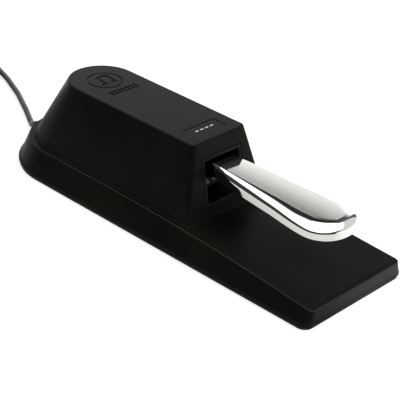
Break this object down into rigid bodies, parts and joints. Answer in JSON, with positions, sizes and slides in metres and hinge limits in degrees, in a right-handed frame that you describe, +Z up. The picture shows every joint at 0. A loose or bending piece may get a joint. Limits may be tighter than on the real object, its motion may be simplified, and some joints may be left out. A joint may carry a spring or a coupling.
{
  "type": "sustain pedal",
  "caption": "Piano-style sustain pedal: tapered black housing on a long flat base, sprung metal lever with geared position sensor, coiled cable with 6.35 mm stereo plug.",
  "frame": {"origin": "on the floor, under the middle of the housing, at the underside of the rubber mat", "axes": "+Z up, -Y towards the player (the way the lever's tip points), +X to the player's right"},
  "size_m": [0.0955, 0.4315, 0.064],
  "materials": {
    "housing_plastic": "fine moulded texture, satin",
    "label_film": "printed film, smooth",
    "bezel_plastic": "moulded, satin",
    "nylon": "natural nylon",
    "plate_steel": "zinc plated",
    "mat_rubber": "ribbed, matt",
    "screw_steel": "zinc plated",
    "chassis_paint": "black satin paint",
    "shaft_steel": "ground",
    "lever_chrome": "polished chrome plate, finely brushed on top",
    "arm_steel": "milled",
    "spring_steel": "drawn wire",
    "stop_rubber": "soft grey rubber",
    "sensor_case": "stamped can",
    "contact_brass": "plated",
    "wire_jacket": "PVC sleeve",
    "clamp_nylon": "black nylon",
    "cable_jacket": "soft PVC, satin",
    "plug_grip": "moulded, satin",
    "plug_metal": "nickel plated",
    "plug_black": "insulator"
  },
  "bodies": {
    "housing": {"upper_case": "housing_plastic", "label_plate": "label_film", "opening_bezel": "bezel_plastic", "guide_buttons": "nylon", "bottom_plate": "plate_steel", "rubber_mat": "mat_rubber", "case_screws": "screw_steel", "chassis_bracket": "chassis_paint", "chassis_screws": "screw_steel", "pivot_shaft": "shaft_steel", "shaft_clips": "spring_steel", "return_spring": "spring_steel", "spring_seat": "nylon", "upstop_rod": "shaft_steel", "upstop_sleeve": "stop_rubber", "downstop_rod": "shaft_steel", "downstop_sleeve": "stop_rubber", "sensor_body": "sensor_case", "sensor_terminals": "contact_brass", "sensor_washer": "screw_steel", "sensor_nut": "contact_brass", "lead_wires": "wire_jacket", "cord_clamp": "clamp_nylon", "clamp_screws": "screw_steel", "cord_grommet": "cable_jacket", "cable": "cable_jacket", "coil_tie": "clamp_nylon", "plug_handle": "plug_grip", "plug_collar": "plug_metal", "plug_sleeve": "plug_metal", "plug_ring": "plug_metal", "plug_tip": "plug_metal", "plug_insulators": "plug_black"},
    "lever": {"pedal_lever": "lever_chrome", "lever_arm": "arm_steel", "lever_screws": "screw_steel", "left_bushing": "nylon", "right_bushing": "nylon", "sector_gear": "nylon", "sector_screws": "screw_steel"},
    "sensor_rotor": {"sensor_shaft": "shaft_steel", "sensor_pinion": "nylon"}
  },
  "joints": [
    {"name": "lever_pivot", "type": "hinge", "parent": "housing", "child": "lever", "pos_m": [0, 0.053, 0.037], "axis": [1, 0, 0], "range_deg": [0, 6.5], "stiffness_Nm_per_rad": 4, "springref_deg": -6.88, "deforming": ["return_spring"]},
    {"name": "sensor_turn", "type": "hinge", "parent": "housing", "child": "sensor_rotor", "pos_m": [0, 0.0172, 0.03324], "axis": [1, 0, 0], "range_deg": [-33, 1]}
  ],
  "couplings": [
    {"joint": "sensor_turn", "follows": "lever_pivot", "ratio": -5}
  ]
}
